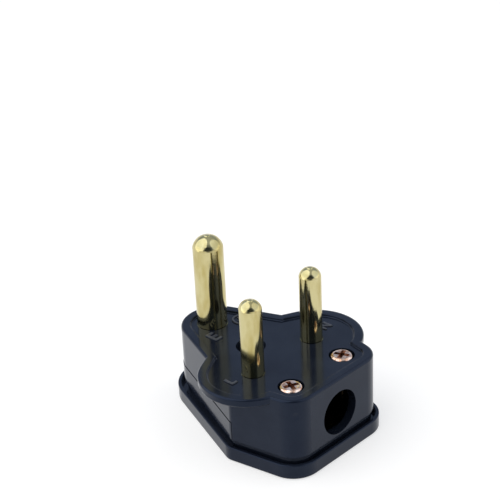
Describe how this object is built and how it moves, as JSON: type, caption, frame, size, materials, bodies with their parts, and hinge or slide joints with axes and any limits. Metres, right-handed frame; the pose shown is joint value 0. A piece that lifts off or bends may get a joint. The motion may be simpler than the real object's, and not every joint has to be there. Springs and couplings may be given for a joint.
{
  "type": "type d plug",
  "caption": "Round-pin mains plug in black plastic: lobed pin face with brass pins, cord entry at one end and a tray-shaped back cover.",
  "frame": {"origin": "centre of the bounding box on the back cover's flat face", "axes": "+Z along the pins, out of the face; +Y towards the earth pin; the cord leaves towards -Y"},
  "size_m": [0.0438, 0.0486, 0.041],
  "materials": {
    "black_plastic": "glossy moulded",
    "pin_brass": "polished",
    "screw_copper": "bright plated",
    "clamp_steel": "plain"
  },
  "bodies": {
    "root": {"front_body": "black_plastic", "back_cover": "black_plastic", "earth_pin": "pin_brass", "line_pin": "pin_brass", "neutral_pin": "pin_brass", "cover_screw": "screw_copper", "clamp_screw_left": "screw_copper", "clamp_screw_right": "screw_copper", "cord_clamp": "clamp_steel", "cover_insert": "pin_brass", "earth_terminal_screw": "screw_copper", "line_terminal_screw": "screw_copper", "neutral_terminal_screw": "screw_copper"}
  },
  "joints": []
}
